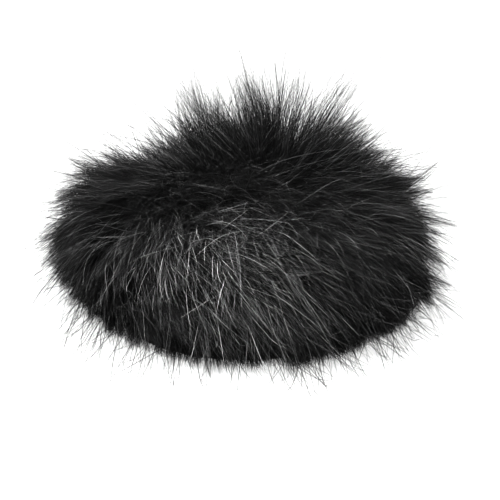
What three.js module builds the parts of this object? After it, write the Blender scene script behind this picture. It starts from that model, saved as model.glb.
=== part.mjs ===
// Slip-on furry windscreen for the microphone head of a handheld sound recorder.
//
// A jacket of four fur gores, lined inside and hemmed with elastic, is pulled over a foam insert that takes the
// microphone head from below. Millimetres, +Z up. The origin is the middle of the mouth, on the plane that the
// windscreen stands on, and -Y is the front.

import * as THREE from "three";
import { mergeVertices } from "three/addons/utils/BufferGeometryUtils.js";

// ---------------------------------------------------------------- driving dimensions
const OVAL = 0.05; // the plan is longer in X, and shorter in Y, than its mean radius by this share
const FACETS = 32; // facets all the way round
const GORES = 4;
const SEAM_GAP = 0.3; // between neighbouring gores
const CROWN_HOLE = 2; // radius of the hole that the four gore tips leave
const GAP = 0.3; // between pieces that touch

// The fur fabric's knitted backing, whose outer face sets the shape of the jacket.
const MOUTH_R = 40.5; // mean radius at the mouth
const BULGE_R = 45; // mean radius at the widest
const STRAIGHT_Z = 11; // the mouth is straight up to here
const BULGE_Z = 20;
const CROWN_Z = 39;
const DOME_POWER = 2.4; // 2 is an ellipse, and more is squarer in the shoulders
const BACKING_T = 1.6;
const SEAM_TAPE_T = 0.6;
const SEAM_TAPE_W = 7;
const LINING_T = 0.6;
const LAYER_GAP = 0.4; // clears a flat tape between two curved layers

// The pile, as the solid that the combed hair fills.
const PILE_FOOT_R = 47; // where it meets the surface it stands on
const PILE_R = 59.5; // at the widest
const PILE_Z = 18; // height of the widest
const PILE_TOP = 47;
const PILE_POWER = 2.2;
const TUFT_R = 34; // the hair stands up in a broad tuft round the crown
const TUFT_RISE = 17;

// The hem: a binding tape folded round the raw edges, with the elastic in its fold.
const BINDING_T = 0.8;
const BINDING_H = 10;
const FABRIC_EDGE_Z = 6.5; // the gores and linings start here, inside the fold
const ELASTIC_T = 1.2;
const ELASTIC_W = 5;
const THREAD_R = 0.35;
const ZIGZAGS = 36;
const ZIGZAG_LOW = 3.5;
const ZIGZAG_HIGH = 6.5;

// The foam insert.
const FOAM_R = 34.4; // clears the hem stitches that slide past it
const FOAM_BORE_R = 26;
const FOAM_H = 31;
const FOAM_DISC_T = 7;
const FOAM_EDGE_R = 8; // rounding of the top edge

// ---------------------------------------------------------------- the oval plan
const quarterTurn = Math.PI / 2;

// Mean radius, angle and height to a point of the part.
function ovalPoint(r, angle, z) {
  return new THREE.Vector3(r * (1 + OVAL) * Math.cos(angle), r * (1 - OVAL) * Math.sin(angle), z);
}

// Replaces each vertex (x, y, z) of a geometry by map(x, y, z), and leaves only welded positions.
function reshaped(geometry, map) {
  const position = geometry.getAttribute("position");
  for (let i = 0; i < position.count; i++) {
    const p = map(position.getX(i), position.getY(i), position.getZ(i));
    position.setXYZ(i, p.x, p.y, p.z);
  }
  geometry.deleteAttribute("normal");
  geometry.deleteAttribute("uv");
  return mergeVertices(geometry, 1e-4);
}

// An outline of [mean radius, height] points swept to both sides of an angle, with its ends closed. turn(r) is the
// angle that it sweeps through at mean radius r.
function sector(outline, middle, turn, steps) {
  const shape = new THREE.Shape(outline.map(([r, z]) => new THREE.Vector2(r, z)));
  const bar = new THREE.ExtrudeGeometry(shape, { depth: 1, steps, bevelEnabled: false });
  return reshaped(bar, (r, z, share) => ovalPoint(r, middle + turn(r) * (0.5 - share), z));
}

// An outline of [mean radius, height] points, listed anticlockwise, swept all the way round.
function ring(outline, facets = FACETS) {
  const points = [...outline, outline[0]].map(([r, z]) => new THREE.Vector2(r, z));
  const lathe = new THREE.LatheGeometry(points, facets);
  return reshaped(lathe, (x, y, z) => ovalPoint(Math.hypot(x, z), Math.atan2(-z, x), y));
}

// ---------------------------------------------------------------- profiles, as [mean radius, height] points
// The backing's outer face at height z, under its widest ring.
function lowerRadius(z) {
  const below = Math.min(1, (BULGE_Z - z) / (BULGE_Z - STRAIGHT_Z));
  return BULGE_R - (BULGE_R - MOUTH_R) * below ** 2;
}

// A quarter of a superellipse from (radius, 0) up to (0, height), at a share 0 to 1 of its quarter turn.
function shoulder(radius, height, power, share) {
  const angle = share * quarterTurn;
  return [radius * Math.cos(angle) ** (2 / power), height * Math.sin(angle) ** (2 / power)];
}

const LOWER_STEPS = 2;
const PILE_LOWER_STEPS = 3;
const UPPER_STEPS = 7;
const PILE_UPPER_STEPS = 12;

// The backing's outer face from the hem to the crown, each point with its outward normal.
function backingCurve(bottom) {
  const points = bottom < STRAIGHT_Z ? [[MOUTH_R, bottom]] : [];
  const start = Math.max(bottom, STRAIGHT_Z);
  for (let i = 0; i < LOWER_STEPS; i++) {
    const z = start + ((BULGE_Z - start) * i) / LOWER_STEPS;
    points.push([lowerRadius(z), z]);
  }
  for (let i = 0; i <= UPPER_STEPS; i++) {
    const [r, z] = shoulder(BULGE_R, CROWN_Z - BULGE_Z, DOME_POWER, i / UPPER_STEPS);
    points.push([Math.max(r, CROWN_HOLE), BULGE_Z + z]);
  }
  return points.map(([r, z], i) => {
    const [before, after] = [points[Math.max(i - 1, 0)], points[Math.min(i + 1, points.length - 1)]];
    const along = new THREE.Vector2(after[0] - before[0], after[1] - before[1]).normalize();
    return { r, z, nr: i === points.length - 1 ? 0 : along.y, nz: i === points.length - 1 ? 1 : -along.x };
  });
}

// The same face moved outwards by a distance, which is negative towards the inside.
function offsetFace(distance, bottom) {
  return backingCurve(bottom).map(({ r, z, nr, nz }) => [
    Math.max(r + distance * nr, CROWN_HOLE),
    z + distance * nz,
  ]);
}

// The outline of a layer between two such faces.
function layer(outer, inner, bottom = FABRIC_EDGE_Z) {
  return [...offsetFace(outer, bottom), ...offsetFace(inner, bottom).reverse()];
}

const backingIn = -BACKING_T;
const tapeOut = backingIn - LAYER_GAP;
const tapeIn = tapeOut - SEAM_TAPE_T;
const liningOut = tapeIn - LAYER_GAP;
const liningIn = liningOut - LINING_T;
const bindingOuter = MOUTH_R + GAP + BINDING_T;
const bindingInner = MOUTH_R + liningIn - GAP - BINDING_T;

// The combed pile's outer face, from where it stands up to the crown.
function pileFace() {
  const points = [];
  for (let i = 0; i < PILE_LOWER_STEPS; i++) {
    const z = (PILE_Z * i) / PILE_LOWER_STEPS;
    points.push([PILE_R - (PILE_R - PILE_FOOT_R) * (1 - z / PILE_Z) ** 2, z]);
  }
  for (let i = 0; i <= PILE_UPPER_STEPS; i++) {
    const [r, z] = shoulder(PILE_R, PILE_TOP - PILE_Z, PILE_POWER, i / PILE_UPPER_STEPS);
    const tuft = (TUFT_RISE * (1 + Math.cos(Math.PI * Math.min(1, r / TUFT_R) ** 2))) / 2;
    points.push([Math.max(r, CROWN_HOLE), PILE_Z + z + tuft]);
  }
  return points;
}

function pileOutline() {
  const hem = BINDING_H + GAP;
  const inside = [[bindingOuter + GAP, 0], [bindingOuter + GAP, hem], ...offsetFace(GAP, hem + GAP)];
  return [...pileFace(), ...inside.reverse()];
}

// ---------------------------------------------------------------- materials
const cloth = (color, roughness) => new THREE.MeshStandardMaterial({ color, roughness, metalness: 0 });
const materials = {
  pile: cloth(0x141414, 0.55),
  backing: cloth(0x1b1b1b, 0.95),
  lining: cloth(0x242424, 0.8),
  tape: cloth(0x1e1e1e, 0.85),
  elastic: cloth(0x2c2c2c, 0.7),
  thread: cloth(0x303030, 0.6),
  foam: cloth(0x2a2a2b, 1),
};

const windscreen = new THREE.Group();
const jacket = new THREE.Group();
const insert = new THREE.Group();
windscreen.add(jacket, insert);

function add(group, name, geometry, material) {
  const mesh = new THREE.Mesh(geometry, material);
  mesh.name = name;
  group.add(mesh);
}

// ---------------------------------------------------------------- the jacket's gores
const GORE_TURN = (2 * Math.PI) / GORES;
const GORE_STEPS = FACETS / GORES;
const goreNames = ["right", "rear", "left", "front"];
const seamNames = ["rear_right", "rear_left", "front_left", "front_right"];

function addGore(name, index) {
  const turn = (r) => GORE_TURN - SEAM_GAP / r;
  const gore = (outline) => sector(outline, GORE_TURN * index, turn, GORE_STEPS);
  add(jacket, `${name}_fur_pile`, gore(pileOutline()), materials.pile);
  add(jacket, `${name}_backing`, gore(layer(0, backingIn)), materials.backing);
  add(jacket, `${name}_lining`, gore(layer(liningOut, liningIn)), materials.lining);
}

function addSeamTape(name, index) {
  const turn = (r) => Math.min(SEAM_TAPE_W / r, GORE_TURN - GAP / r);
  const tape = sector(layer(tapeOut, tapeIn), GORE_TURN * (index + 0.5), turn, 2);
  add(jacket, `${name}_seam_tape`, tape, materials.tape);
}

goreNames.forEach(addGore);
seamNames.forEach(addSeamTape);

// The thread that ties the four gore tips together, in the hole that they leave.
function addCrownTack() {
  const radius = CROWN_HOLE - GAP;
  const [low, high] = [CROWN_Z + liningIn, CROWN_Z + GAP];
  const knot = [[0, low], [radius, low], [radius, high - 0.5], [radius - 0.5, high], [0, high]];
  const lathe = new THREE.LatheGeometry(knot.map(([r, z]) => new THREE.Vector2(r, z)), 12);
  add(jacket, "crown_tack", reshaped(lathe, (x, y, z) => new THREE.Vector3(x, -z, y)), materials.thread);
}

// ---------------------------------------------------------------- the jacket's hem
function addBinding() {
  const [legOut, legIn] = [bindingOuter - BINDING_T, bindingInner + BINDING_T];
  const folded = [
    [bindingInner, 0],
    [bindingOuter, 0],
    [bindingOuter, BINDING_H],
    [legOut, BINDING_H],
    [legOut, BINDING_T],
    [legIn, BINDING_T],
    [legIn, BINDING_H],
    [bindingInner, BINDING_H],
  ];
  add(jacket, "mouth_binding", ring(folded), materials.tape);
}

function addElastic() {
  const middle = (bindingOuter + bindingInner) / 2;
  const [low, high] = [BINDING_T + GAP, BINDING_T + GAP + ELASTIC_W];
  const [inner, outer] = [middle - ELASTIC_T / 2, middle + ELASTIC_T / 2];
  add(jacket, "mouth_elastic", ring([[inner, low], [outer, low], [outer, high], [inner, high]]), materials.elastic);
}

// One thread that zigzags all round the inner leg of the binding.
class Zigzag extends THREE.Curve {
  getPoint(share) {
    const step = share * ZIGZAGS;
    const swing = Math.abs((step % 1) - 0.5) * 2;
    const z = ZIGZAG_LOW + (ZIGZAG_HIGH - ZIGZAG_LOW) * swing;
    return ovalPoint(bindingInner - GAP - THREAD_R, share * 2 * Math.PI, z);
  }
}

function addStitching() {
  const steps = ZIGZAGS * 2;
  const sides = 5;
  const tube = new THREE.TubeGeometry(new Zigzag(), steps, THREAD_R, sides, true);
  tube.deleteAttribute("normal");
  tube.deleteAttribute("uv");
  add(jacket, "hem_stitching", mergeVertices(tube, 1e-4), materials.thread);
}

addCrownTack();
addBinding();
addElastic();
addStitching();

// ---------------------------------------------------------------- the foam insert
function addFoamSleeve() {
  const outline = [[FOAM_BORE_R, 0], [FOAM_R, 0]];
  const corner = [FOAM_R - FOAM_EDGE_R, FOAM_H - FOAM_EDGE_R];
  const edgeSteps = 5;
  for (let i = 0; i <= edgeSteps; i++) {
    const angle = (quarterTurn * i) / edgeSteps;
    outline.push([corner[0] + FOAM_EDGE_R * Math.cos(angle), corner[1] + FOAM_EDGE_R * Math.sin(angle)]);
  }
  outline.push([FOAM_BORE_R, FOAM_H]);
  add(insert, "foam_sleeve", ring(outline), materials.foam);
}

function addFoamDisc() {
  const radius = FOAM_BORE_R - GAP;
  const outline = [[0, FOAM_H - FOAM_DISC_T], [radius, FOAM_H - FOAM_DISC_T], [radius, FOAM_H], [0, FOAM_H]];
  const lathe = new THREE.LatheGeometry(outline.map(([r, z]) => new THREE.Vector2(r, z)), FACETS);
  const disc = reshaped(lathe, (x, y, z) => ovalPoint(Math.hypot(x, z), Math.atan2(-z, x), y));
  add(insert, "foam_disc", disc, materials.foam);
}

addFoamSleeve();
addFoamDisc();

export default windscreen;
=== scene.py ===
"""The looks of a slip-on furry windscreen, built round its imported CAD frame.

The fur is made of real strands: closed, tapered tubes, grown from the backing of each gore, combed along
the gore's nap, gathered into locks and laid on the surface that the windscreen stands on. Shapes are worked
out in millimetres, in the frame's own axes, and become metres as each mesh is made.
"""

import math

import bmesh
import bpy
import numpy as np
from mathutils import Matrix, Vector


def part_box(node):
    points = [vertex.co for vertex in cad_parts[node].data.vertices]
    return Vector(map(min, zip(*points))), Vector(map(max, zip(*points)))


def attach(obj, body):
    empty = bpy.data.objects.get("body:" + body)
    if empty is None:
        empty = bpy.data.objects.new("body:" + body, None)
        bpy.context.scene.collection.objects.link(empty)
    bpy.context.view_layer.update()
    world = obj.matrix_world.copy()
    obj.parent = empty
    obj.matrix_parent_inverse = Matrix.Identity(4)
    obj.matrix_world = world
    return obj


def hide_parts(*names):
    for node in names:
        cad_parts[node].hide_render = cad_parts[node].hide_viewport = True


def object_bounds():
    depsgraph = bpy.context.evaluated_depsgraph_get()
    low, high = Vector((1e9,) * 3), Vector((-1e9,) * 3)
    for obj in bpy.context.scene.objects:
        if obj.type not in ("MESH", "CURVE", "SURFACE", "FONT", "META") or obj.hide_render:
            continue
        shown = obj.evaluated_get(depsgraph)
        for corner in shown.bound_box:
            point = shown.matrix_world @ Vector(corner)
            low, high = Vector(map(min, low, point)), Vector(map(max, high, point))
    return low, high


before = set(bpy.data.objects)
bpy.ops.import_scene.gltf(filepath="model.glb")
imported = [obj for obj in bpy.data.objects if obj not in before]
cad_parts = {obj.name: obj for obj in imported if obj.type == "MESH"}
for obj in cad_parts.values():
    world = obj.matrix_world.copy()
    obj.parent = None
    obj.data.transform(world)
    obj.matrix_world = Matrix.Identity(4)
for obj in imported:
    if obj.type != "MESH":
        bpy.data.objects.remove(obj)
CAD_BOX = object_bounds()

MM = 0.001
SEED = 7
JACKET = "fur_jacket"
INSERT = "foam_insert"


# ---------------------------------------------------------------- the backing's shape, read from the frame
def node_points(node):
    """The corners of a CAD node's mesh, in millimetres."""
    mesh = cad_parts[node].data
    flat = np.empty(len(mesh.vertices) * 3)
    mesh.vertices.foreach_get("co", flat)
    return flat.reshape(-1, 3) / MM


def widest_point(node, axis):
    """The corner of a CAD node that is furthest along an axis."""
    points = node_points(node)
    return points[np.argmax(points[:, axis])]


HALF_X, _, BULGE_Z = widest_point("right_backing", 0)
HALF_Y = widest_point("rear_backing", 1)[1]
CROWN_Z = widest_point("rear_backing", 2)[2]
HEM_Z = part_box("mouth_binding")[1][2] / MM
MOUTH = (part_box("mouth_binding")[1][0] / MM) / HALF_X
CAP_H = CROWN_Z - BULGE_Z
MEAN_R = (HALF_X + HALF_Y) / 2
OVAL = (HALF_X - HALF_Y) / (HALF_X + HALF_Y)
DOME_POWER = 2.4  # how square the dome's shoulder is: 2 is an ellipse
PROFILE_STEPS = (400, 60)  # steps along the dome's profile above and below its widest ring


def mean_radius(p):
    """Distance from the axis on the oval plan, as a share of the backing's widest ring."""
    return np.hypot(p[:, 0] / HALF_X, p[:, 1] / HALF_Y)


def smooth(low, high, x):
    """A smooth step from 0 at low to 1 at high."""
    t = np.clip((x - low) / (high - low), 0, 1)
    return t * t * (3 - 2 * t)


def unit(v):
    """Each vector of a list, made 1 long."""
    return v / np.maximum(np.linalg.norm(v, axis=1, keepdims=True), 1e-9)


def outward(p):
    """The direction away from the dome at each point outside it."""
    rho = mean_radius(p)
    rise = np.maximum(p[:, 2] - BULGE_Z, 0) / CAP_H
    side = rho ** (DOME_POWER - 2)
    across = [p[:, 0] / HALF_X**2 * side, p[:, 1] / HALF_Y**2 * side]
    return unit(np.stack([*across, rise ** (DOME_POWER - 1) / CAP_H], 1))


def depth_outside(p):
    """How far each point is outside the dome, roughly, in millimetres, and below zero inside it."""
    rho = mean_radius(p)
    rise = np.maximum(p[:, 2] - BULGE_Z, 0) / CAP_H
    level = (rho**DOME_POWER + rise**DOME_POWER) ** (1 / DOME_POWER)
    scale = np.minimum(HALF_Y, np.linalg.norm(p - [0, 0, BULGE_Z], axis=1))
    return (level - 1) * scale


def azimuth_of(p):
    """The azimuth of each point on the oval plan, in radians."""
    return np.arctan2(p[:, 1] / HALF_Y, p[:, 0] / HALF_X)


def below_bulge(z):
    """The backing's radius at heights below its widest ring, as a share of that ring."""
    return 1 - (1 - MOUTH) * ((BULGE_Z - z) / (BULGE_Z - HEM_Z)) ** 2


def on_plan(rho, azimuth, z):
    """Points at shares of the widest ring, azimuths and heights."""
    return np.stack([HALF_X * rho * np.cos(azimuth), HALF_Y * rho * np.sin(azimuth), z], 1)


def dome_roots(count, rng):
    """Points spread evenly over the backing, from the hem to the crown."""
    turn = np.linspace(0, 1, PROFILE_STEPS[0]) * math.pi / 2
    low_z = np.linspace(HEM_Z, BULGE_Z, PROFILE_STEPS[1], endpoint=False)
    rho = np.concatenate([below_bulge(low_z), np.cos(turn) ** (2 / DOME_POWER)])
    z = np.concatenate([low_z, BULGE_Z + CAP_H * np.sin(turn) ** (2 / DOME_POWER)])
    length = np.hypot(np.diff(rho) * MEAN_R, np.diff(z))
    area = np.concatenate([[0], np.cumsum(length * (rho[1:] + rho[:-1]))])
    at = rng.random(count) * area[-1]
    rho, z = np.interp(at, area, rho), np.interp(at, area, z)
    return on_plan(rho, rng.random(count) * 2 * math.pi, z)


# ---------------------------------------------------------------- how the fur is combed
GORES = ("right", "rear", "left", "front")
NAP = {  # the way that each gore's fur lies
    "right": (1.0, -0.5, 0.3),
    "rear": (0.0, 1.0, -0.2),
    "left": (-1.0, -0.25, 0.7),
    "front": (0.40, -1.0, -0.3),
}
RADIAL = {"right": 0.6, "rear": 0.5, "left": 0.3, "front": 0.20}  # how much it also fans out
REACH = {"right": 0.47, "rear": 0.90, "left": 0.77, "front": 0.86}  # hair length, as a share of its kind's
NAP_SHARE = 0.8
NAP_FALL = 0.3  # how much the nap falls under the hair's own weight
HEM_FALL = (1.1, 14.0)  # how much more it falls at the hem, and the height over which that fades
PARTING = (-16.0, 26.0, 9.0)  # from x, to x, at y: the line under the tuft that the naps part at
SLANT = 0.032  # how much more the front's nap leans to the right, for each millimetre further right
SEAM_BLEND = math.radians(9)  # to each side of a seam, where the naps of two gores mix

TUFT_AT = (7.0, 13.0)
TUFT_R = (20.0, 11.5)
TUFT_EDGE = (0.75, 1.05)  # where the tuft fades into the fur round it, as shares of its radii
TUFT_SPLAY = 0.28  # how far each lock of the tuft leans its own way
TUFT_FAN = (1.20, 0.35)  # how the tuft's hair spreads along the tuft, and across it
TUFT_LEAN = 0.22  # how far the tuft leans back from upright
TUFT_PEAK = (0.64, 0.36, 34.0)  # its least length, how much more its middle has, and how wide that is
TUFT_UNEVEN = 0.17
TUFT_SPIKES = (  # x, half width and extra length of its longer and shorter locks
    (-11.0, 4.5, 0.46),
    (-2.0, 5.0, -0.24),
    (10.0, 5.0, 0.40),
    (20.0, 5.0, -0.22),
)
SHORN = (-21.0, 15.0, 8.0, 0.40)  # x, y and radius of the dip beside the tuft, and how much shorter it is
SHOULDERS = (  # x, y, radius and extra lift of the hair that stands out beside the crown
    (-31.0, 8.0, 12.0, 0.44),
    (40.0, 6.0, 13.0, 0.52),
)

TUCKED_AT = math.radians(229)  # the azimuth at which the fur is tucked up most
TUCKED_SPAN = math.radians(26)
TUCKED_BY = 11.5
RAGGED_BY = 1.6
UNDERCUT = (46.0, 0.85)  # the mean radius at which the fur leaves the floor, and how steeply it then rises


def gore_of(p):
    """The index in GORES of the gore that each root is on."""
    return np.floor(azimuth_of(p) / (math.pi / 2) + 0.5).astype(int) % 4


def from_parting(p):
    """The way to each point, in plan, from the nearest place on the parting."""
    return np.stack([p[:, 0] - np.clip(p[:, 0], *PARTING[:2]), p[:, 1] - PARTING[2]], 1)


def gore_shares(p):
    """How much each gore has its say at each point, as one column for each of GORES."""
    azimuth = azimuth_of(from_parting(p))[:, None]
    middle = np.arange(4)[None] * math.pi / 2
    off = np.abs((azimuth - middle + math.pi) % (2 * math.pi) - math.pi)
    share = 1 - smooth(math.pi / 4 - SEAM_BLEND, math.pi / 4 + SEAM_BLEND, off)
    return share / share.sum(1, keepdims=True)


def comb(p, shares):
    """The way the nap lies at each point: its gore's own nap, the way down, and the way out."""
    nap = shares @ unit(np.array([NAP[name] for name in GORES]))
    radial = shares @ np.array([[RADIAL[name]] for name in GORES])
    out = unit(np.column_stack([from_parting(p), np.zeros(len(p))]))
    n = outward(p)
    way = NAP_SHARE * nap + radial * out
    way[:, 0] += SLANT * np.maximum(p[:, 0], 0) * shares[:, GORES.index("front")]
    way[:, 2] -= NAP_FALL + HEM_FALL[0] * (1 - smooth(HEM_Z, HEM_Z + HEM_FALL[1], p[:, 2]))
    return unit(way - (way * n).sum(1, keepdims=True) * n)


def ripple(p, scale, seed):
    """A smooth random number for each point, about -1 to 1, that changes over scale millimetres."""
    rng = np.random.default_rng(seed)
    waves = 6
    total = np.zeros(len(p))
    for _ in range(waves):
        wave = rng.standard_normal(3) / scale
        total += np.sin(p @ wave + rng.random() * 2 * math.pi)
    return total / math.sqrt(waves)


def standing(roots):
    """How far a root belongs to the tuft, 0 to 1, and the way its hair stands."""
    off = (roots[:, :2] - TUFT_AT) / TUFT_R
    share = 1 - smooth(*TUFT_EDGE, np.linalg.norm(off, axis=1))
    spread = np.sign(off[:, 0]) * np.abs(off[:, 0]) ** 1.3 * TUFT_FAN[0]
    fan = np.stack([spread, off[:, 1] * TUFT_FAN[1] + TUFT_LEAN, np.ones(len(roots))], 1)
    return share[:, None], unit(fan)


def tuft_length(roots):
    """How long the tuft's hair is at each root, as a share: longest in the middle, and uneven."""
    least, more, width = TUFT_PEAK
    off = (roots[:, 0] - TUFT_AT[0]) / width
    spikes = sum(rise * np.exp(-(((roots[:, 0] - x) / width) ** 2)) for x, width, rise in TUFT_SPIKES)
    uneven = TUFT_UNEVEN * ripple(roots * [1, 0.3, 0], 3.5, SEED + 5)
    return least + more * np.exp(-(off**2)) + uneven + spikes


def near_place(p, place):
    """How near each point is, in plan, to the middle of a place given as x, y and radius, from 0 to 1."""
    return np.exp(-(((p[:, :2] - place[:2]) / place[2]) ** 2).sum(1))


def tuck(p):
    """How much the fur is tucked up at each point round the hem, from 0 to 1."""
    off = (azimuth_of(p) - TUCKED_AT + math.pi) % (2 * math.pi) - math.pi
    return np.exp(-((off / TUCKED_SPAN) ** 2))


def ragged(p):
    """How much further out the fur leaves the floor in some places than in others."""
    return RAGGED_BY * ripple(p * [1, 1, 0], 3.5, SEED + 6) - TUCKED_BY * tuck(p)


class Hair:
    """One kind of hair. Lengths and radii are in millimetres and angles in radians.

    spread is how much its length varies, lift is its angle from the backing at its root and at its tip, and
    droop is how much it bends down. scatter is how far each hair turns its own way, wave is how far it swings
    from side to side, clump is how far it is drawn into its lock, and hem_length is its length at the hem.
    """

    def __init__(self, length, spread, radius, steps, lift, droop, scatter, wave, clump, hem_length):
        self.length, self.spread = length, spread
        self.radius, self.steps = radius, steps
        self.lift, self.droop = lift, droop
        self.scatter, self.wave, self.clump = scatter, wave, clump
        self.hem_length = hem_length


LOCKS = Hair(28.5, 0.16, 0.068, 8, (1.0, 0.20), 0.12, 0.10, 0.5, 0.86, 0.60)
GUARD = Hair(29.5, 0.22, 0.07, 8, (1.1, 0.30), 0.10, 0.24, 0.8, 0.35, 0.62)
STRAY = Hair(40, 0.20, 0.075, 9, (1.1, 0.55), 0.06, 0.60, 1.2, 0.0, 0.9)
LAID = Hair(34, 0.22, 0.08, 10, (0.9, 0.08), 0.08, 0.24, 0.7, 0.0, 0.5)
LOOSE = Hair(21, 0.30, 0.07, 8, (1.3, 0.20), 0.04, 1.00, 1.0, 0.0, 0.6)
UNDER = Hair(17, 0.25, 0.07, 5, (1.2, 0.55), 0.05, 0.45, 0.8, 0.2, 0.7)
GUIDE = Hair(33, 0.10, 0.1, 9, LOCKS.lift, LOCKS.droop, 0.08, 0.6, 0, LOCKS.hem_length)
COUNTS = {"locks": 37000, "guard": 15000, "stray": 2200, "laid": 2400, "loose": 3000, "under": 15000}
KINDS = {"locks": LOCKS, "guard": GUARD, "stray": STRAY, "laid": LAID, "loose": LOOSE, "under": UNDER}
LOCK_COUNT = 1000

TURNED = 0.28  # how much a lock as a whole turns from the nap, in radians
SWEPT = 0.30  # how much whole patches of the fur turn from the nap
PATCH = 9.0  # the size of those patches
TOUSLED = 0.55  # how much more each hair turns round the crown
CROWN_R = (10.0, 26.0)  # the radii between which that fades
FLAT_TOP = 0.35  # how much less the hair lifts on the flat of the crown
STIFF = 0.70  # how much a hair keeps to the way it lies at its root
SETTLED = 0.10  # how much of its length a hair still shows once it rests on something
SKID = 0.12  # how far a hair slides out, for each millimetre that the floor lifts it


def hair_lengths(kind, roots, shares, stand, rng):
    """The length of one hair at each root: set by its kind, its gore and the tuft, and shorter at the hem."""
    length = kind.length * np.clip(1 + kind.spread * rng.standard_normal(len(roots)), 0.45, 1.5)
    reach = (shares @ np.array([REACH[name] for name in GORES])) * (1 - stand)
    length *= reach + tuft_length(roots) * stand
    length *= 1 - SHORN[3] * near_place(roots, SHORN)
    return length * (kind.hem_length + (1 - kind.hem_length) * smooth(HEM_Z - 2, HEM_Z + 22, roots[:, 2]))


def hair_turns(kind, roots, lock_turn, rng):
    """How far each hair turns from the nap: with its lock, with its patch of the fur, and on its own."""
    crown = 1 - smooth(*CROWN_R, np.hypot(roots[:, 0], roots[:, 1]))
    own = kind.scatter + TOUSLED * crown * (0.3 + 0.7 * (kind.clump < 0.5))
    turn = lock_turn * TURNED + ripple(roots, PATCH, SEED + 1) * SWEPT
    return (turn + own * rng.standard_normal(len(roots)))[:, None]


def grow(kind, roots, rng, locks):
    """Centre lines of one hair at each root, as an array of hairs by points by x, y, z."""
    count = len(roots)
    shares = gore_shares(roots)
    stand, way_up = standing(roots)
    lock_of, lock_turn, lock_tilt = locks
    way_up = unit(way_up + lock_tilt[lock_of] * TUFT_SPLAY)
    length = hair_lengths(kind, roots, shares, stand[:, 0], rng)
    turn = hair_turns(kind, roots, lock_turn[lock_of], rng)
    tip_lift = kind.lift[1] * np.exp(0.35 * rng.standard_normal(count))[:, None]
    swing = rng.standard_normal((count, 3)) * kind.wave
    phase = rng.random(count)[:, None] * 2 * math.pi
    jitter = rng.standard_normal((count, 3)) * (0.13 + 0.20 * stand)
    length *= 1 - 0.4 * stand[:, 0] * rng.random(count) ** 2
    step = (length / kind.steps)[:, None]
    tucked = np.clip(1 + 0.35 * rng.standard_normal(count), 0, 1.6) * (kind.scatter < 0.5)
    bed = kind.radius + 0.3 + 1.2 * rng.random(count) ** 2
    flat_top = smooth(0.15, 0.75, outward(roots)[:, 2])[:, None] * (1 - stand)
    raised = sum(place[3] * near_place(roots, place) for place in SHOULDERS)[:, None]
    first_lie = comb(roots, shares)
    line = np.empty((count, kind.steps + 1, 3))
    line[:, 0] = p = roots
    pace = np.ones((count, 1))
    for i in range(kind.steps):
        t = (i + 0.5) / kind.steps
        n = outward(p)
        lie = unit(comb(p, shares) * (1 - STIFF) + first_lie * STIFF)
        lie = unit(lie - np.minimum((lie * n).sum(1, keepdims=True), 0) * n)
        lie = lie * np.cos(turn) + np.cross(n, lie) * np.sin(turn)
        lift = (kind.lift[0] - tip_lift) * (1 - t) ** 1.3 + tip_lift
        lift = lift * (1 - FLAT_TOP * flat_top) + raised
        way = n * np.sin(lift) + lie * np.cos(lift)
        way = unit(way * (1 - stand) + way_up * stand * 1.6 + jitter)
        way[:, 2] -= kind.droop * t * (1 - 0.7 * stand[:, 0])
        p, touches = lay_on_floor(p + unit(way) * step * pace, bed, tucked)
        pace = np.where(touches[:, None], SETTLED, pace)
        line[:, i + 1] = p
    t = np.linspace(0, 1, kind.steps + 1)[None, :, None]
    line += swing[:, None] * (np.sin(t * 4.2 + phase[:, None]) - np.sin(phase[:, None])) * t
    return line


def lay_on_floor(p, bed, tucked):
    """Keeps hair above the floor and the slope it rises by beyond the hem, and says which hair that moved."""
    beyond = np.maximum(mean_radius(p) * MEAN_R - UNDERCUT[0] - ragged(p), 0)
    floor = bed + beyond * UNDERCUT[1] * tucked
    below = np.maximum(floor - p[:, 2], 0)
    out = unit(np.stack([p[:, 0], p[:, 1], np.zeros(len(p))], 1))
    p = p + out * below[:, None] * SKID
    p[:, 2] = np.maximum(p[:, 2], floor)
    return p, below > 0


def gather(line, roots, kind, guides, lock_of, rng):
    """Draws the ends of the hairs of one lock together, towards the lock's guide hair."""
    loose = 1 - 0.20 * standing(roots)[0][:, 0]
    loose *= 0.35 + 0.65 * smooth(HEM_Z, HEM_Z + 14, roots[:, 2])
    share = np.clip(kind.clump * loose * (1 + 0.25 * rng.standard_normal(len(line))), 0, 0.96)
    t = np.linspace(0, 1, line.shape[1])
    pull = share[:, None] * t[None] ** 1.6
    guide = guides[lock_of]
    steps = np.linspace(0, guide.shape[1] - 1, line.shape[1])
    low = np.minimum(steps.astype(int), guide.shape[1] - 2)
    part = (steps - low)[None, :, None]
    on_guide = guide[:, low] * (1 - part) + guide[:, low + 1] * part
    return line * (1 - pull[..., None]) + on_guide * pull[..., None]


CLEARANCE = 0.35
ROOM = (0.03, 9.2)  # how far past the CAD box hair may stand: a share of the box's side, and millimetres


def keep_clear(line):
    """Moves every point outside the backing, above the floor and inside the room that the frame allows."""
    flat = line.reshape(-1, 3)
    inside = np.maximum(CLEARANCE - depth_outside(flat), 0)
    past_root = np.ones(line.shape[:2])
    past_root[:, 0] = 0
    flat = flat + outward(flat) * (inside * past_root.reshape(-1))[:, None]
    low, high = (np.array(c) / MM for c in CAD_BOX)
    room = ROOM[0] * (high - low) + ROOM[1]
    flat = np.clip(flat, low - room, high + room)
    flat[:, 2] = np.maximum(flat[:, 2], CLEARANCE + 0.02)
    return flat.reshape(line.shape)


# ---------------------------------------------------------------- hair lines to meshes
SIDES = 3


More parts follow.
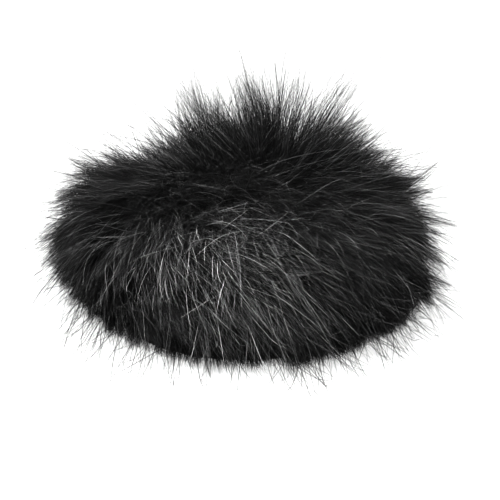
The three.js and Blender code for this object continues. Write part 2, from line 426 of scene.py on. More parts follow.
def hair_rings(line, radius):
    """The corners of a tapered tube along each line, hair by hair and ring by ring, in metres."""
    along = np.gradient(line, axis=1)
    along /= np.maximum(np.linalg.norm(along, axis=2, keepdims=True), 1e-9)
    across = np.cross(along, np.array([0.31, 0.67, 0.674]))
    across /= np.maximum(np.linalg.norm(across, axis=2, keepdims=True), 1e-9)
    third = np.cross(along, across)
    t = np.linspace(0, 1, line.shape[1])
    taper = (1 - 0.92 * t**2.2) * (0.75 + 0.25 * np.minimum(t * 6, 1))
    size = radius[:, None] * taper[None]
    rings = []
    for s in range(SIDES):
        angle = 2 * math.pi * s / SIDES
        rings.append(line + size[..., None] * (across * math.cos(angle) + third * math.sin(angle)))
    return np.stack(rings, 2).reshape(-1, 3) * MM


def hair_faces(count, points):
    """The corners of each face of the tubes, one after another, and where each face starts among them."""
    base = (np.arange(count) * points * SIDES)[:, None, None]
    ring = (np.arange(points - 1) * SIDES)[None, :, None]
    s = np.arange(SIDES)[None, None]
    e = (s + 1) % SIDES
    quads = np.stack([base + ring + s, base + ring + e, base + ring + SIDES + e, base + ring + SIDES + s], 3)
    quads = quads.reshape(-1, 4)
    root_cap = np.stack([base[:, 0, 0] + k for k in (2, 1, 0)], 1)
    tip_cap = np.stack([base[:, 0, 0] + (points - 1) * SIDES + k for k in (0, 1, 2)], 1)
    loops = np.concatenate([quads.reshape(-1), root_cap.reshape(-1), tip_cap.reshape(-1)])
    return loops, np.concatenate([np.arange(len(quads)) * 4, len(quads) * 4 + np.arange(2 * count) * 3])


def hair_mesh(name, line, radius, tone):
    """Closed tapered tubes along the lines. Their UV map holds each hair's tone and its root-to-tip share."""
    count, points = line.shape[:2]
    co = hair_rings(line, radius)
    loops, starts = hair_faces(count, points)
    mesh = bpy.data.meshes.new(name)
    mesh.vertices.add(len(co))
    mesh.vertices.foreach_set("co", co.reshape(-1).astype(np.float32))
    mesh.loops.add(len(loops))
    mesh.loops.foreach_set("vertex_index", loops.astype(np.int32))
    mesh.polygons.add(len(starts))
    mesh.polygons.foreach_set("loop_start", starts.astype(np.int32))
    mesh.polygons.foreach_set("use_smooth", np.ones(len(starts), bool))
    mesh.update(calc_edges=True)
    uv = mesh.uv_layers.new(name="OFBake")
    t = np.linspace(0, 1, points)
    point_uv = np.stack([np.repeat(tone, points * SIDES), np.tile(np.repeat(t, SIDES), count)], 1)
    uv.data.foreach_set("uv", (0.01 + 0.98 * point_uv[loops]).reshape(-1).astype(np.float32))
    obj = bpy.data.objects.new(name, mesh)
    bpy.context.collection.objects.link(obj)
    return obj


# ---------------------------------------------------------------- materials
def grey(level):
    """An opaque grey, as a colour."""
    return (level, level, level, 1)


def new_material(name):
    material = bpy.data.materials.new(name)
    material.use_nodes = True
    return material, material.node_tree.nodes, material.node_tree.links


TONES = (0.10, 15)  # how bright the darkest and the brightest hair of a kind are, beside its own colour
HAIR_FINISH = {  # the greys of its root and tip, roughness and specular level; the roots, far darker than the tips, and the near-black under hair are partly painted shade deep in the pile
    "locks": (0.0006, 0.024, 0.36, 0.03),
    "guard": (0.001, 0.042, 0.34, 0.08),
    "stray": (0.004, 0.042, 0.34, 0.14),
    "laid": (0.006, 0.040, 0.32, 0.16),
    "loose": (0.003, 0.045, 0.34, 0.20),
    "under": (0.0005, 0.001, 0.55, 0.02),
}
FINISH_NAMES = {
    "locks": "fur_lock_hair",
    "guard": "fur_guard_hair",
    "stray": "fur_stray_hair",
    "laid": "fur_laid_hair",
    "loose": "fur_loose_hair",
    "under": "fur_under_hair",
}


def hair_material(kind):
    """Glossy hair that changes from root to tip, and from hair to hair: its darker root is partly painted
    shade, and the change from hair to hair is random tone times the fur's painted light.
    """
    root, tip, roughness, specular = HAIR_FINISH[kind]
    material, nodes, links = new_material(FINISH_NAMES[kind])
    shader = nodes["Principled BSDF"]
    shader.inputs["Specular IOR Level"].default_value = specular
    uv = nodes.new("ShaderNodeUVMap")
    uv.uv_map = "OFBake"
    split = nodes.new("ShaderNodeSeparateXYZ")
    links.new(uv.outputs["UV"], split.inputs[0])
    ramp = nodes.new("ShaderNodeValToRGB")
    ramp.color_ramp.elements[0].color = grey(root)
    ramp.color_ramp.elements[1].color = grey(tip)
    links.new(split.outputs["Y"], ramp.inputs["Fac"])
    tone = nodes.new("ShaderNodeMapRange")
    tone.inputs["To Min"].default_value, tone.inputs["To Max"].default_value = TONES
    links.new(split.outputs["X"], tone.inputs["Value"])
    mix = nodes.new("ShaderNodeVectorMath")
    mix.operation = "SCALE"
    links.new(ramp.outputs["Color"], mix.inputs[0])
    links.new(tone.outputs["Result"], mix.inputs["Scale"])
    links.new(mix.outputs[0], shader.inputs["Base Color"])
    rough = nodes.new("ShaderNodeMapRange")
    rough.inputs["To Min"].default_value = roughness - 0.08
    rough.inputs["To Max"].default_value = roughness + 0.10
    links.new(split.outputs["X"], rough.inputs["Value"])
    links.new(rough.outputs["Result"], shader.inputs["Roughness"])
    return material


def sine(nodes, links, value, pitch):
    """A wave of 0 to 1 along a length in metres, that repeats after a pitch in millimetres."""
    angle = nodes.new("ShaderNodeMath")
    angle.operation = "MULTIPLY"
    angle.inputs[1].default_value = 2 * math.pi / (pitch * MM) if pitch else 0
    links.new(value, angle.inputs[0])
    wave = nodes.new("ShaderNodeMath")
    wave.operation = "SINE"
    links.new(angle.outputs[0], wave.inputs[0])
    lift = nodes.new("ShaderNodeMath")
    lift.operation = "MULTIPLY_ADD"
    lift.inputs[1].default_value = 0.5
    lift.inputs[2].default_value = 0.5
    links.new(wave.outputs[0], lift.inputs[0])
    return lift.outputs[0]


def finish_material(material, height, dark, light, depth, roughness, mottle):
    """Colours a material from its deep to its raised parts, darker in the deep parts as painted shade,
    mottles it, and raises it by a bump.
    """
    nodes, links = material.node_tree.nodes, material.node_tree.links
    shader = nodes["Principled BSDF"]
    place = nodes.new("ShaderNodeTexCoord")
    noise = nodes.new("ShaderNodeTexNoise")
    noise.inputs["Scale"].default_value = mottle
    noise.inputs["Detail"].default_value = 4
    links.new(place.outputs["Object"], noise.inputs["Vector"])
    blend = nodes.new("ShaderNodeMix")
    blend.inputs[0].default_value = 0.35
    links.new(height, blend.inputs[2])
    links.new(noise.outputs["Fac"], blend.inputs[3])
    ramp = nodes.new("ShaderNodeValToRGB")
    ramp.color_ramp.elements[0].color = grey(dark)
    ramp.color_ramp.elements[1].color = (light, light, light * 1.02, 1)
    links.new(blend.outputs[0], ramp.inputs["Fac"])
    links.new(ramp.outputs["Color"], shader.inputs["Base Color"])
    rough = nodes.new("ShaderNodeMapRange")
    rough.inputs["To Min"].default_value = min(1, roughness + 0.08)
    rough.inputs["To Max"].default_value = roughness - 0.06
    links.new(blend.outputs[0], rough.inputs["Value"])
    links.new(rough.outputs["Result"], shader.inputs["Roughness"])
    bump = nodes.new("ShaderNodeBump")
    bump.inputs["Strength"].default_value = 0.8
    bump.inputs["Distance"].default_value = depth * MM
    links.new(height, bump.inputs["Height"])
    links.new(bump.outputs["Normal"], shader.inputs["Normal"])
    shader.inputs["Specular IOR Level"].default_value = 0.3
    return material


def cloth_material(name, dark, light, pitch, depth, roughness):
    """Cloth with a rib every pitch[0] millimetres along it and every pitch[1] across it, painted darker
    between the ribs as shade. 0 is no rib.
    """
    material, nodes, links = new_material(name)
    uv = nodes.new("ShaderNodeUVMap")
    uv.uv_map = "weave"
    split = nodes.new("ShaderNodeSeparateXYZ")
    links.new(uv.outputs["UV"], split.inputs[0])
    warp = sine(nodes, links, split.outputs["X"], pitch[0])
    weft = sine(nodes, links, split.outputs["Y"], pitch[1])
    height = nodes.new("ShaderNodeMath")
    height.operation = "MULTIPLY" if pitch[1] else "MAXIMUM"
    links.new(warp, height.inputs[0])
    if pitch[1]:
        links.new(weft, height.inputs[1])
    return finish_material(material, height.outputs[0], dark, light, depth, roughness, 400)


def foam_material():
    """Open-cell foam: a net of thin ribs with a pit in each cell, painted dark as shade."""
    material, nodes, links = new_material("foam_cells")
    place = nodes.new("ShaderNodeTexCoord")
    cells = nodes.new("ShaderNodeTexVoronoi")
    cells.feature = "DISTANCE_TO_EDGE"
    cells.inputs["Scale"].default_value = 1 / (CELL * MM)
    links.new(place.outputs["Object"], cells.inputs["Vector"])
    pit = nodes.new("ShaderNodeMapRange")
    pit.inputs["From Min"].default_value = 0.02
    pit.inputs["From Max"].default_value = 0.22
    pit.inputs["To Min"].default_value = 1
    pit.inputs["To Max"].default_value = 0
    links.new(cells.outputs["Distance"], pit.inputs["Value"])
    return finish_material(material, pit.outputs["Result"], 0.005, 0.045, 0.35, 0.92, 900)


# ---------------------------------------------------------------- sewn and foam pieces
MOUTH_R = MOUTH * MEAN_R
STRAIGHT_Z = 11.0
FABRIC_EDGE_Z = 6.5
CROWN_HOLE = 2.0
SEAM_GAP = 0.3
BACKING = (0.0, -1.6)  # the faces of each layer, as distances outside the backing's outer face
TAPE = (-2.0, -2.6)
LINING = (-3.0, -3.6)
TAPE_W = 7.0
ALONG = 48  # steps from the hem to the crown


def oval(r, azimuth, z):
    """Points at mean radii r, azimuths and heights z, on the oval plan."""
    r, azimuth, z = np.broadcast_arrays(r, azimuth, z)
    return np.stack([r * (1 + OVAL) * np.cos(azimuth), r * (1 - OVAL) * np.sin(azimuth), z], -1)


def layer_face(distance):
    """Mean radii and heights of a layer's face, hem to crown, at a distance outside the backing."""
    straight = np.linspace(FABRIC_EDGE_Z, STRAIGHT_Z, 6)
    low_z = np.concatenate([straight, np.linspace(STRAIGHT_Z, BULGE_Z, 12)[1:-1]])
    below = np.minimum(1, (BULGE_Z - low_z) / (BULGE_Z - STRAIGHT_Z))
    low_r = MEAN_R - (MEAN_R - MOUTH_R) * below**2
    turn = np.linspace(0, math.pi / 2, ALONG - len(low_z))
    r = np.concatenate([low_r, MEAN_R * np.cos(turn) ** (2 / DOME_POWER)])
    z = np.concatenate([low_z, BULGE_Z + CAP_H * np.sin(turn) ** (2 / DOME_POWER)])
    along = unit(np.stack([np.gradient(r), np.gradient(z)], 1))
    along[-1] = (-1, 0)
    return np.maximum(r + distance * along[:, 1], CROWN_HOLE), z - distance * along[:, 0]


def sweep_faces(count, points, closed):
    """The corners of each face between outlines in a row, with caps on an open row's ends."""
    index = np.arange(count * points).reshape(count, points)
    after = np.roll(index, -1, 0) if closed else index[1:]
    here = index if closed else index[:-1]
    turned = np.roll(here, -1, 1), np.roll(after, -1, 1)
    quads = np.stack([here, after, turned[1], turned[0]], -1).reshape(-1, 4)
    if not closed:
        half = points // 2
        k = np.arange(half - 1)
        ends = [(index[0], 1), (index[-1], -1)]
        for end, step in ends:
            cap = np.stack([end[k], end[k + 1], end[points - 2 - k], end[points - 1 - k]], 1)
            quads = np.concatenate([quads, cap[:, ::step]])
    return quads


def sweep_mesh(name, stations, closed, material):
    """A solid from a row of outlines, as outlines by points by x, y, z. Its weave map is in metres."""
    count, points = stations.shape[:2]
    quads = sweep_faces(count, points, closed)
    mesh = bpy.data.meshes.new(name)
    mesh.from_pydata((stations.reshape(-1, 3) * MM).tolist(), [], quads.tolist())
    step_along = np.linalg.norm(np.diff(stations, axis=0), axis=2).mean(1)
    step_round = np.linalg.norm(np.diff(stations, axis=1), axis=2).mean(0)
    u = np.concatenate([[0], np.cumsum(step_along)]) * MM
    v = np.concatenate([[0], np.cumsum(step_round)]) * MM
    loops = np.empty(len(mesh.loops), int)
    mesh.loops.foreach_get("vertex_index", loops)
    uv = mesh.uv_layers.new(name="weave")
    uv.data.foreach_set("uv", np.stack([u[loops // points], v[loops % points]], 1).reshape(-1))
    mesh.materials.append(material)
    tidy_mesh(mesh)
    obj = bpy.data.objects.new(name, mesh)
    bpy.context.collection.objects.link(obj)
    return obj


def tidy_mesh(mesh):
    """Welds points that meet on the axis, turns every face outwards and keeps only its real corners sharp."""
    work = bmesh.new()
    work.from_mesh(mesh)
    bmesh.ops.remove_doubles(work, verts=work.verts, dist=1e-6)
    bmesh.ops.recalc_face_normals(work, faces=work.faces)
    work.to_mesh(mesh)
    work.free()
    mesh.shade_smooth()
    mesh.set_sharp_from_angle(angle=math.radians(50))


def fit(obj, body, slot, *nodes):
    """Makes a piece ride on its body, in the place of the CAD nodes that it shows in detail."""
    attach(obj, body)
    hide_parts(*nodes)
    return obj


def layer_mesh(name, faces, middle, width, columns, material, wrinkle=None):
    """One piece of a layer, from the hem to the crown. width is its azimuth span at each mean radius."""
    share = np.linspace(-0.5, 0.5, columns)[:, None]
    sides = []
    for distance in faces:
        r, z = layer_face(distance)
        azimuth = middle + share * width(r)[None]
        if wrinkle:
            r = r[None] - wrinkle(azimuth, z[None])
        sides.append(oval(r, azimuth, z))
    return sweep_mesh(name, np.concatenate([sides[0], sides[1][:, ::-1]], 1), False, material)


def layer_size(faces):
    """The flat width, length and area, in metres, that a gore of a layer is cut to."""
    r, z = layer_face(sum(faces) / 2)
    step = np.hypot(np.diff(r), np.diff(z))
    area = (step * (r[1:] + r[:-1]) / 2).sum() * math.pi / 2
    return (r.max() * math.pi / 2 * MM, step.sum() * MM), area * MM * MM


def gathers(azimuth, z):
    """How far the lining stands in from its smooth shape, where the elastic gathers it."""
    where = smooth(STRAIGHT_Z, STRAIGHT_Z + 3, z) * (1 - smooth(BULGE_Z, BULGE_Z + 12, z))
    fold = 0.5 + 0.5 * np.sin(azimuth * 52 + 1.5 * np.sin(azimuth * 7) + z * 0.05)
    soft = 0.5 + 0.5 * np.sin(azimuth * 11 + np.sin(z * 0.2) * 1.5)
    return 0.55 * fold * where + 0.5 * soft * smooth(STRAIGHT_Z, BULGE_Z, z) * (1 - smooth(28, 36, z))


SEAMS = ("rear_right", "rear_left", "front_left", "front_right")
QUARTER = math.pi / 2


def gore_span(r):
    """The azimuth that a gore spans at mean radius r."""
    return QUARTER - SEAM_GAP / r


def tape_span(r):
    """The azimuth that a seam tape spans at mean radius r."""
    return np.minimum(TAPE_W / r, QUARTER - SEAM_GAP / r)


def make_layers():
    """The backing and lining of each gore, and the tape over each seam."""
    knit = cloth_material("backing_knit", 0.006, 0.016, (1.1, 1.5), 0.12, 0.95)
    satin = cloth_material("lining_cloth", 0.007, 0.014, (0.45, 0.35), 0.03, 0.62)
    tape = cloth_material("tape_cloth", 0.006, 0.015, (0.6, 0.6), 0.05, 0.85)
    for i, name in enumerate(GORES):
        middle = QUARTER * i
        backing = layer_mesh(f"{name}_backing_knit", BACKING, middle, gore_span, 40, knit)
        lining = layer_mesh(f"{name}_lining_cloth", LINING, middle, gore_span, 120, satin, gathers)
        fit(backing, JACKET, "backing", f"{name}_backing")
        fit(lining, JACKET, "lining", f"{name}_lining")
        for obj, faces, held in ((backing, BACKING, "stretched"), (lining, LINING, "gathered")):
            flat, area = layer_size(faces)
    for i, name in enumerate(SEAMS):
        piece = layer_mesh(f"{name}_seam_tape_cloth", TAPE, QUARTER * (i + 0.5), tape_span, 8, tape)
        fit(piece, JACKET, "tape", f"{name}_seam_tape")


BINDING_R = (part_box("mouth_binding")[1][0] / MM / (1 + OVAL), 35.8)  # outer and inner mean radii
BINDING_T = 0.8
BINDING_H = HEM_Z
FOLD_R = 1.6  # rounding of the tape where it folds under


BINDING_MIDDLE = (BINDING_R[0] - BINDING_T / 2, BINDING_R[1] + BINDING_T / 2)
BINDING_AROUND = 432  # steps round the mouth
BINDING_RIPPLE = 0.24


def binding_outline():
    """Mean radii and heights along the middle of the binding tape, down outside and up inside."""
    outer, inner = BINDING_MIDDLE
    turn = np.linspace(0, math.pi / 2, 7)
    low = BINDING_T / 2 + 0.06
    leg = np.linspace(BINDING_H - 0.1, FOLD_R + low, 10)
    r = np.concatenate([
        np.full(10, outer), outer - FOLD_R + FOLD_R * np.cos(turn)[1:],
        np.linspace(outer - FOLD_R, inner + FOLD_R, 6)[1:-1],
        inner + FOLD_R - FOLD_R * np.sin(turn), np.full(9, inner),
    ])
    z = np.concatenate([
        leg, low + FOLD_R - FOLD_R * np.sin(turn)[1:], np.full(4, low),
        low + FOLD_R - FOLD_R * np.cos(turn), leg[::-1][1:],
    ])
    return r, z


def make_binding():
    """The tape folded round the hem. It ripples a little, as the elastic gathers it."""
    azimuth = np.linspace(0, 2 * math.pi, BINDING_AROUND, endpoint=False)[:, None]
    r, z = binding_outline()
    along = unit(np.stack([np.gradient(r), np.gradient(z)], 1))
    side = np.sign(np.interp(np.arange(len(r)), [0, len(r) - 1], [1, -1]))
    ripple_in = 0.5 + 0.5 * np.sin(azimuth * 64 + 2 * np.sin(azimuth * 5))
    bulge = BINDING_RIPPLE * ripple_in * smooth(0.8, 3, z)[None] * side[None]
    faces = []
    for half in (BINDING_T / 2, -BINDING_T / 2):
        faces.append(oval(r + bulge - half * along[:, 1], azimuth, z + half * along[:, 0]))
    stations = np.concatenate([faces[0], faces[1][:, ::-1]], 1)
    ribbed = cloth_material("binding_tape", 0.007, 0.020, (0.55, 0.0), 0.10, 0.8)
    obj = fit(sweep_mesh("mouth_binding_tape", stations, True, ribbed), JACKET, "tape", "mouth_binding")


ELASTIC_BOX = (1.1, 6.1)
ELASTIC_T = 1.2
ELASTIC_CORDS = 6


def make_elastic():
    """A flat braided elastic: rubber cords side by side, each wrapped in thread."""
    azimuth = np.linspace(0, 2 * math.pi, 900, endpoint=False)[:, None]
    middle = sum(BINDING_R) / 2
    across = np.linspace(-1, 1, 8 * ELASTIC_CORDS + 1)
    cords = np.abs(np.cos(across * math.pi * ELASTIC_CORDS / 2)) ** 0.6
    half = ELASTIC_T / 2 * (0.72 + 0.28 * cords) * np.minimum(1, (1.02 - np.abs(across)) * 12) ** 0.5
    low, high = ELASTIC_BOX
    z = (low + high) / 2 + across * (high - low) / 2
    crimp = 0.03 * np.sin(azimuth * 300)
    outer = oval(middle + half - crimp * np.sign(across), azimuth, z)
    inner = oval(middle - half + crimp * np.sign(across), azimuth, z)
    braid = cloth_material("elastic_braid", 0.010, 0.035, (0.5, 0.83), 0.08, 0.7)
    obj = sweep_mesh("mouth_elastic_braid", np.concatenate([outer, inner[:, ::-1]], 1), True, braid)
    fit(obj, JACKET, "elastic", "mouth_elastic")


PLIES = 2
PLY_PITCH = 1.6
THREAD_SIDES = 10


def thread_mesh(name, line, radius, closed, material):
    """Twisted thread along a line of points."""
    ahead = np.roll(line, -1, 0) - np.roll(line, 1, 0)
    if not closed:
        ahead = np.gradient(line, axis=0)
    ahead = unit(ahead)
    across = unit(np.cross(ahead, [0.02, 0.05, 1.0]))
    up = np.cross(across, ahead)
    step = np.linalg.norm(np.diff(line, axis=0), axis=1)
    at = np.concatenate([[0], np.cumsum(step)])[:, None]
    angle = np.linspace(0, 2 * math.pi, THREAD_SIDES, endpoint=False)[None]
    twist = 2 * math.pi * at / PLY_PITCH
    size = radius * (0.86 + 0.14 * np.cos(PLIES * (angle - twist)))
    ring = across[:, None] * (size * np.cos(angle))[..., None]
    ring = ring + up[:, None] * (size * np.sin(angle))[..., None]
    return sweep_mesh(name, line[:, None] + ring, closed, material)


THREAD_R = 0.32
ZIGZAGS = 36
ZIGZAG_Z = (3.5, 6.5)


def make_threads():
    """The zigzag stitching round the inside of the hem, and the tack at the crown."""
    thread = cloth_material("sewing_thread", 0.012, 0.040, (0.3, 0.3), 0.03, 0.55)
    share = np.linspace(0, 1, ZIGZAGS * 28, endpoint=False)
    swing = np.abs((share * ZIGZAGS) % 1 - 0.5) * 2
    swing = 0.5 - 0.45 * np.cos(swing * math.pi)
    z = ZIGZAG_Z[0] + (ZIGZAG_Z[1] - ZIGZAG_Z[0]) * swing
    sunk = 0.12 * np.abs(swing - 0.5) * 2
    line = oval(BINDING_R[1] - THREAD_R - 0.26 + sunk, share * 2 * math.pi, z)
    fit(thread_mesh("hem_stitching_thread", line, THREAD_R, True, thread), JACKET, "thread", "hem_stitching")
    make_tack(thread)


TACK_TURNS = 5
TACK_R = 1.25


def make_tack(thread):
    """The thread that draws the gore tips together: a coil through the layers, crossed over on top."""
    low, high = CROWN_Z + LINING[1] + 0.5, CROWN_Z - 0.1
    t = np.linspace(0, 1, TACK_TURNS * 30)
    turn = t * TACK_TURNS * 2 * math.pi
    coil = np.stack([TACK_R * np.cos(turn), TACK_R * np.sin(turn), low + (high - low) * t], 1)
    t = np.linspace(0, 1, 160)[1:]
    turn = turn[-1] + t * math.pi * 7
    r = TACK_R * np.abs(np.cos(t * math.pi * 3.5)) + 0.1
    height = high + 0.28 * t + 0.2 * (1 - r / (TACK_R + 0.1))
    knot = np.stack([r * np.cos(turn), r * np.sin(turn), height], 1)
    line = np.concatenate([coil, knot])
    fit(thread_mesh("crown_tack_thread", line, THREAD_R, False, thread), JACKET, "thread", "crown_tack")


FOAM_R = 34.4
BORE_R = 26.0
FOAM_H = 31.0
FOAM_EDGE_R = 8.0
DISC_R = BORE_R - 0.3
DISC_LOW = 24.0
CELL = 0.9


def rounded_run(corners, step):
    """Points about a step apart along a closed run of straight lines between corners."""
    run = []
    for a, b in zip(corners, np.roll(corners, -1, 0)):
        parts = max(1, round(np.hypot(*(b - a)) / step))
        run += [a + (b - a) * k / parts for k in range(parts)]
    return np.array(run)


def foam_mesh(name, corners, material, around):
    """A foam ring or disc with rough open cells over all its faces."""
    run = rounded_run(np.array(corners, float), 0.8)
    azimuth = np.linspace(0, 2 * math.pi, around, endpoint=False)
    stations = oval(run[None, :, 0], azimuth[:, None], run[None, :, 1])
    middle = np.array([run[:, 0].mean(), run[:, 1].mean()])
    rough = ripple(stations.reshape(-1, 3), 0.5, SEED + 9).reshape(stations.shape[:2])
    rough += 0.7 * ripple(stations.reshape(-1, 3), 2.5, SEED + 10).reshape(stations.shape[:2])
    inwards = oval(middle[0], azimuth[:, None], middle[1]) - stations
    depth = np.clip(0.09 + 0.05 * rough, 0, 0.25)
    on_axis = run[None, :, 0] < 0.01
    inwards /= np.linalg.norm(inwards, axis=2, keepdims=True)
    stations = stations + inwards * (depth * ~on_axis)[..., None]
    return sweep_mesh(name, stations, True, material)


def make_foam():
    """The foam sleeve, with its rounded top edge, and the disc that closes its top."""
    foam = foam_material()
    turn = np.linspace(0, math.pi / 2, 12)
    edge = np.stack([np.cos(turn), np.sin(turn)], 1) * FOAM_EDGE_R
    edge = edge + (FOAM_R - FOAM_EDGE_R, FOAM_H - FOAM_EDGE_R)
    sleeve = foam_mesh("foam_sleeve_cells", [(BORE_R, 0), (FOAM_R, 0), *edge, (BORE_R, FOAM_H)], foam, 288)
    corners = [(0, DISC_LOW), (DISC_R, DISC_LOW), (DISC_R, FOAM_H), (0, FOAM_H)]
    disc = foam_mesh("foam_disc_cells", corners, foam, 240)
    for obj, node in ((sleeve, "foam_sleeve"), (disc, "foam_disc")):
        fit(obj, INSERT, "foam", node)


# ---------------------------------------------------------------- the fur
MOST_TRIANGLES = 180_000  # in one piece
RADIUS_SPREAD = 0.25
PAINTED_HIGHLIGHTS = (  # middle, radii and strength of the painted highlights in the fur's colour, where the lamps' highlights fall: the front shoulder gets most, the rear and the sides less
    ((-8.0, -31.0, 32.0), (21.0, 14.0, 14.0), 0.64),
    ((-4.0, 32.0, 34.0), (24.0, 14.0, 14.0), 0.60),
    ((50.0, 8.0, 24.0), (12.0, 22.0, 14.0), 0.14),
    ((-50.0, 8.0, 24.0), (12.0, 22.0, 14.0), 0.10),
)
PAINTED_HEM_SHADE = (0.05, 0.12)  # how bright the hair is painted at the hem, and how much brighter above it: painted shade towards the bottom
TONE_PATCH = (12.0, 0.10)  # the size and strength of random brighter and darker patches over the painted light
BRIGHTEST = 0.5


def nearest(points, centres):
    """The index of the centre that is nearest to each point."""
    best = np.empty(len(points), int)
    at_once = 2000
    for i in range(0, len(points), at_once):
        part = points[i : i + at_once]
        best[i : i + at_once] = ((part[:, None] - centres[None]) ** 2).sum(2).argmin(1)
    return best


def painted_light(roots):
    """How bright the fur's hair is painted at each root, 0 to 1: painted shade towards the hem, painted
    highlights most on the front shoulder, and random patches.
    """
    painted_level = PAINTED_HEM_SHADE[0] + PAINTED_HEM_SHADE[1] * smooth(HEM_Z, HEM_Z + 14, roots[:, 2])
    for middle, radii, strength in PAINTED_HIGHLIGHTS:
        painted_level += strength * np.exp(-(((roots - middle) / radii) ** 2).sum(1))
    return np.clip(painted_level + TONE_PATCH[1] * ripple(roots, TONE_PATCH[0], SEED + 3), 0.06, 1)


def add_hair(name, line, radius, tone, material):
    """Makes one piece of fur that rides on the jacket."""
    obj = hair_mesh(name, line, radius, tone)
    obj.data.materials.append(material)
    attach(obj, JACKET)
    return obj


def add_kind(label, line, roots, radius, tone, material):
    """Makes one kind of hair, gore by gore, in pieces that aren't too big. Gives each gore's first piece."""
    gore = gore_of(roots)
    most = MOST_TRIANGLES // (2 * SIDES * KINDS[label].steps + 2)
    first = {}
    for index, name in enumerate(GORES):
        mine = np.flatnonzero(gore == index)
        parts = -(-len(mine) // most)
        for part in range(parts):
            pick = mine[part::parts]
            piece = f"{name}_{label}_hair_{part + 1}"
            obj = add_hair(piece, line[pick], radius[pick], tone[pick], material)
            first.setdefault(name, obj)
    return first


def make_fur():
    """Grows every kind of hair, and puts it in the place of the CAD's piles."""
    rng = np.random.default_rng(SEED)
    centres = dome_roots(LOCK_COUNT, rng)
    turn = rng.standard_normal(LOCK_COUNT)
    tilt = rng.standard_normal((LOCK_COUNT, 3))
    guides = grow(GUIDE, centres, rng, (np.arange(LOCK_COUNT), turn, tilt))
    finish = {label: hair_material(label) for label in HAIR_FINISH}
    made = {}
    for label, kind in KINDS.items():
        count = COUNTS[label]
        roots = dome_roots(count, rng)
        lock_of = nearest(roots, centres)
        same_gore = gore_of(roots) == gore_of(centres)[lock_of]
        line = grow(kind, roots, rng, (lock_of, turn, tilt))
        if kind.clump:
            drawn = gather(line, roots, kind, guides, lock_of, rng)
            line = np.where(same_gore[:, None, None], drawn, line)
        # each hair's random tone, times the painted highlight and shade at its root
        tone = np.minimum(rng.random(count) ** 7 * painted_light(roots), BRIGHTEST)
        radius = kind.radius * np.exp(RADIUS_SPREAD * rng.standard_normal(count))
        made[label] = add_kind(label, keep_clear(line), roots, radius, tone, finish[label])
    make_fringe(finish["guard"])
    for name, obj in made["locks"].items():
        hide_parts(f"{name}_fur_pile")


FRINGE_COUNT = 14000
FRINGE_LOCKS = 130
FRINGE_BAND = 7.0  # height above the hem that the fringe grows from
FRINGE_REACH = (7.2, 3.0, 1.3)  # how far its locks reach out, how much that varies, and in patches
FRINGE_LIMITS = (2.0, 13.0)
FRINGE_R = 0.07
FRINGE_STEPS = 6
# the fringe hangs at the hem, so its hair is kept about as dark as the painted shade there
FRINGE_TONE = 0.06


def fringe_roots(count, rng):
    """Points on the backing, close above the hem."""
    z = HEM_Z + FRINGE_BAND * rng.random(count)
    return on_plan(below_bulge(z), rng.random(count) * 2 * math.pi, z)


def fringe_ends(azimuth, rng):
    """Where the fringe's hairs end on the floor. Those of one lock end in a point."""
    count = len(azimuth)
    apart = 2 * math.pi / FRINGE_LOCKS
    middle = (np.arange(FRINGE_LOCKS) + 0.5 + 0.3 * rng.standard_normal(FRINGE_LOCKS)) * apart
    plan = oval(MEAN_R, middle, 0)
    mean, spread, patchy = FRINGE_REACH
    out = mean + spread * rng.standard_normal(FRINGE_LOCKS) + patchy * ripple(plan, 11.0, SEED + 12)
    out = np.clip(out * (1 - 0.5 * tuck(plan)), *FRINGE_LIMITS)
    turn = 0.045 * rng.standard_normal(FRINGE_LOCKS)
    lock = (azimuth / apart + 0.4 * rng.standard_normal(count)).astype(int) % FRINGE_LOCKS
    short = rng.random(count)
    reach = BINDING_R[0] + 0.6 + out[lock] * (1 - 0.7 * short**1.5) + 0.5 * rng.standard_normal(count)
    way = middle[lock] + turn[lock] + (0.020 + 0.035 * short) * rng.standard_normal(count)
    return oval(reach, way, FRINGE_R + 0.2 + 3.5 * rng.random(count) ** 2)


def make_fringe(material):
    """Grows the short hair that hangs from the hem in pointed locks, in front of the binding."""
    rng = np.random.default_rng(SEED + 1)
    roots = fringe_roots(FRINGE_COUNT, rng)
    ends = fringe_ends(azimuth_of(roots), rng)
    out = unit(roots * [1, 1, 0])
    bend = roots * [0.4, 0.4, 1] + ends * [0.6, 0.6, 0] + out * 1.2 - [0, 0, 3.0]
    t = np.linspace(0, 1, FRINGE_STEPS + 1)[None, :, None]
    line = roots[:, None] * (1 - t) ** 2 + bend[:, None] * 2 * t * (1 - t) + ends[:, None] * t**2
    line = keep_clear(line)
    tone = rng.random(FRINGE_COUNT) ** 3 * FRINGE_TONE
    radius = FRINGE_R * np.exp(RADIUS_SPREAD * rng.standard_normal(FRINGE_COUNT))
    for index, name in enumerate(GORES):
        pick = gore_of(roots) == index
        add_hair(f"{name}_fringe_hair", line[pick], radius[pick], tone[pick], material)


# ---------------------------------------------------------------- stage, lights and camera
CONTRAST = 0.67  # below 1 deepens the shadows
CAMERA_ELEVATION = math.radians(26)
CAMERA_DISTANCE = 0.60
FIELD_WIDTH = 0.160  # the width of the picture at the object
AIM = (0.0015, 0.0, 0.019)


FLOOR_SIZE = 60
FLOOR_GREY = 0.06
FLOOR_GLOW = 0.90  # keeps the floor white without throwing light up into the fur
WORLD_GLOW = 0.03


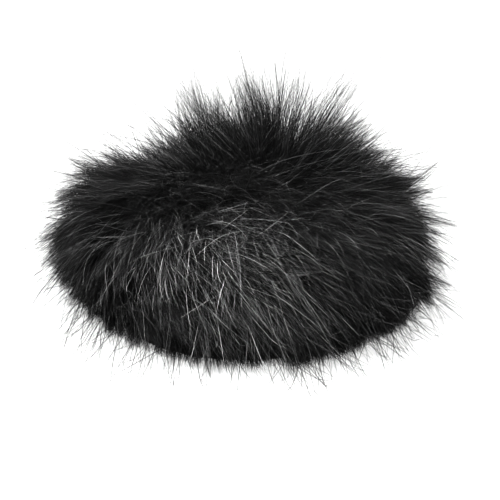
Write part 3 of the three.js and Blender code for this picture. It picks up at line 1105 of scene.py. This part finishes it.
def make_stage():
    """A plain white floor, and a faint white world."""
    bpy.ops.mesh.primitive_plane_add(size=FLOOR_SIZE)
    floor = bpy.context.object
    floor.name = "floor"
    material, nodes, links = new_material("floor_white")
    shader = nodes["Principled BSDF"]
    shader.inputs["Base Color"].default_value = grey(FLOOR_GREY)
    shader.inputs["Roughness"].default_value = 0.9
    shader.inputs["Specular IOR Level"].default_value = 0.1
    shader.inputs["Emission Color"].default_value = grey(1)
    shader.inputs["Emission Strength"].default_value = FLOOR_GLOW
    floor.data.materials.append(material)
    world = bpy.data.worlds.new("studio")
    world.use_nodes = True
    world.node_tree.nodes["Background"].inputs[0].default_value = grey(1)
    world.node_tree.nodes["Background"].inputs[1].default_value = WORLD_GLOW
    bpy.context.scene.world = world


def soft_light(name, azimuth, elevation, distance, size, power, aim=(0, 0, 0)):
    """A square soft box that shines on a point of the windscreen. Azimuth 0 is the camera's side."""
    data = bpy.data.lights.new(name, "AREA")
    data.size, data.energy = size, power
    lamp = bpy.data.objects.new(name, data)
    bpy.context.collection.objects.link(lamp)
    a, e = math.radians(azimuth), math.radians(elevation)
    at = Vector((math.sin(a) * math.cos(e), -math.cos(a) * math.cos(e), math.sin(e))) * distance
    lamp.location = Vector(aim) + at
    lamp.rotation_euler = (-at).to_track_quat("-Z", "Y").to_euler()


def make_camera():
    """The camera, in front of the windscreen and above it."""
    data = bpy.data.cameras.new("camera")
    data.sensor_width = 36
    data.lens = data.sensor_width * CAMERA_DISTANCE / FIELD_WIDTH
    camera = bpy.data.objects.new("camera", data)
    bpy.context.collection.objects.link(camera)
    back = Vector((0, -math.cos(CAMERA_ELEVATION), math.sin(CAMERA_ELEVATION)))
    camera.location = Vector(AIM) + back * CAMERA_DISTANCE
    camera.rotation_euler = (-back).to_track_quat("-Z", "Y").to_euler()
    bpy.context.scene.camera = camera


make_camera()
make_layers()
make_binding()
make_elastic()
make_threads()
make_foam()
make_fur()
make_stage()
soft_light("key", -16, 55, 0.40, 0.22, 22.3, aim=(-0.015, -0.050, 0.030))
soft_light("top", 15, 78, 1.0, 0.6, 6)
soft_light("back", 165, 48, 0.8, 0.5, 14)
bpy.context.scene.view_settings.view_transform = "Standard"
bpy.context.scene.view_settings.gamma = CONTRAST
